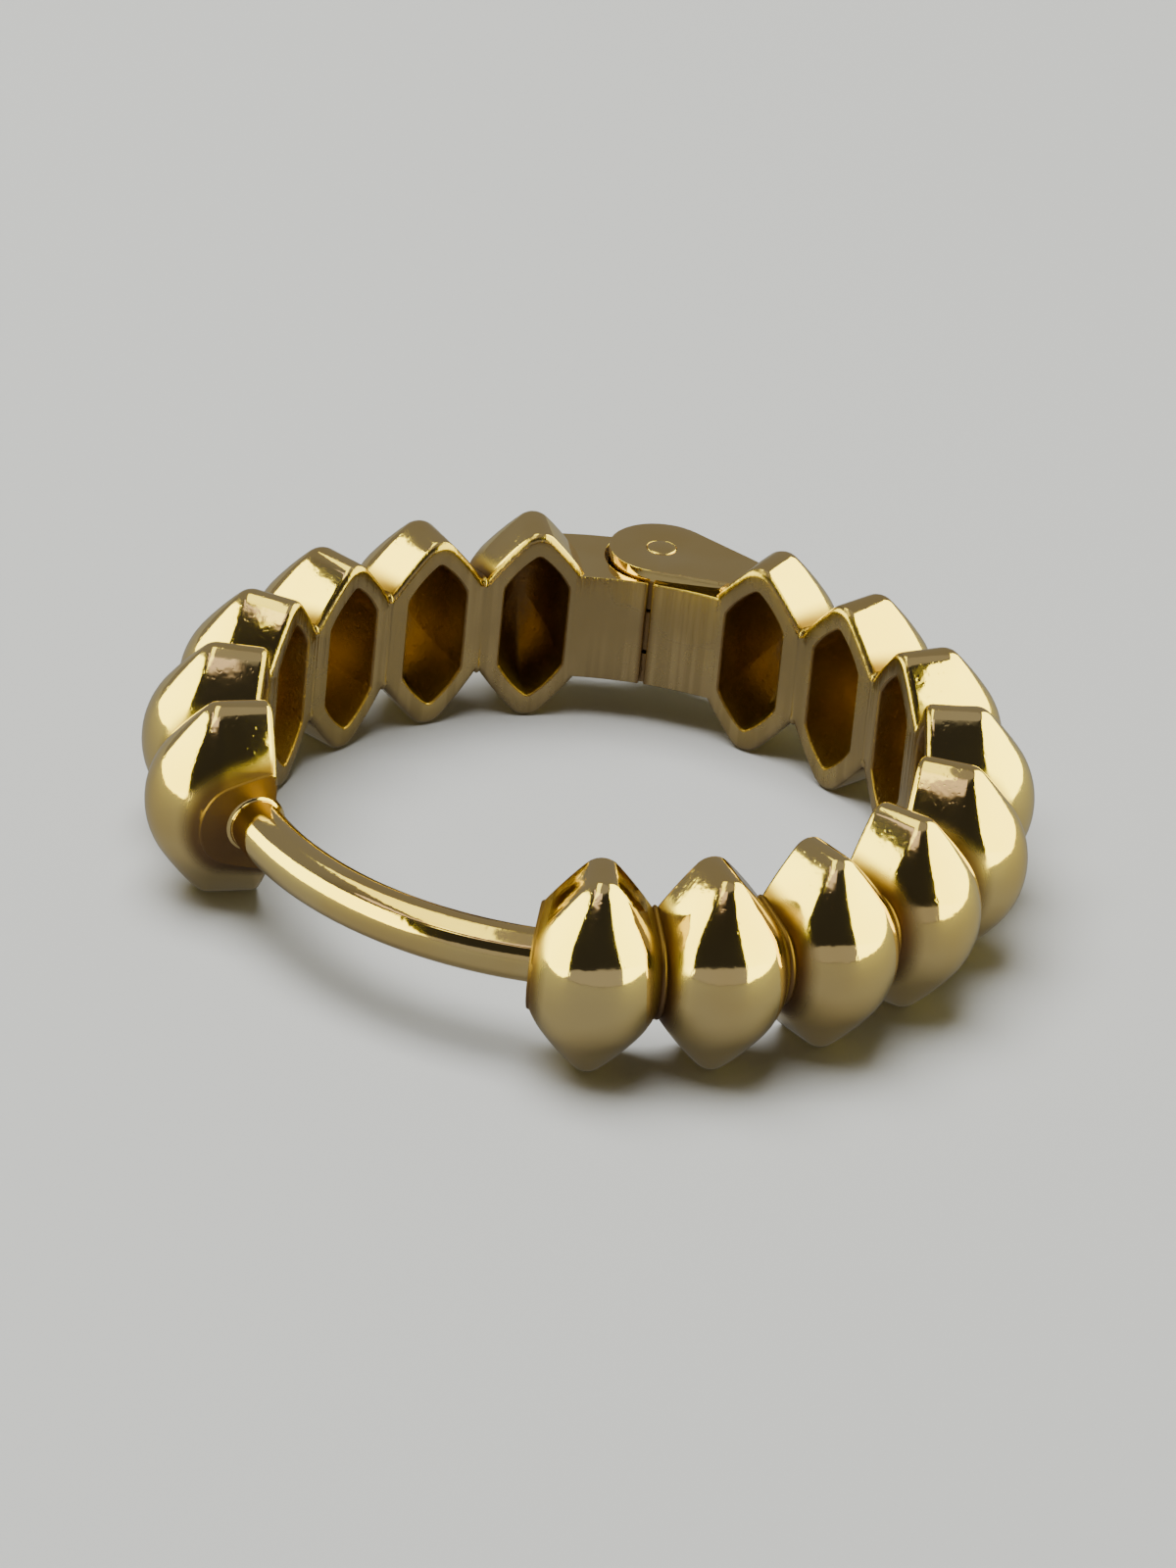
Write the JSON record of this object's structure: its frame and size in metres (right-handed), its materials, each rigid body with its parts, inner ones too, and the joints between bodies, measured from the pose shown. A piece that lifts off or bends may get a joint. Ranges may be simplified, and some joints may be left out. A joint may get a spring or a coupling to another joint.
{
  "type": "hinged hoop earring",
  "caption": "Hinged hoop earring of domed almond links with hollow backs, a fork-and-tongue hinge and a curved ear post that plugs into a notch.",
  "frame": {"origin": "middle of the hoop, on the surface it lies on", "axes": "+Z along the hoop's axis, up when the hoop lies on its side; +Y from the hoop's middle towards the hinge pin"},
  "size_m": [0.015, 0.0148, 0.0035],
  "materials": {
    "polished_gold": "high polish yellow gold, brushed on the hinge block's inner face",
    "pin_gold": "polished yellow gold pin, peened ends"
  },
  "bodies": {
    "front": {"front_half": "polished_gold", "hinge_pin": "pin_gold"},
    "back": {"back_half": "polished_gold"}
  },
  "joints": [
    {"name": "hinge", "type": "hinge", "parent": "front", "child": "back", "pos_m": [0, 0.00655, 0.00175], "axis": [0, 0, -1], "range_deg": [0, 60]}
  ]
}
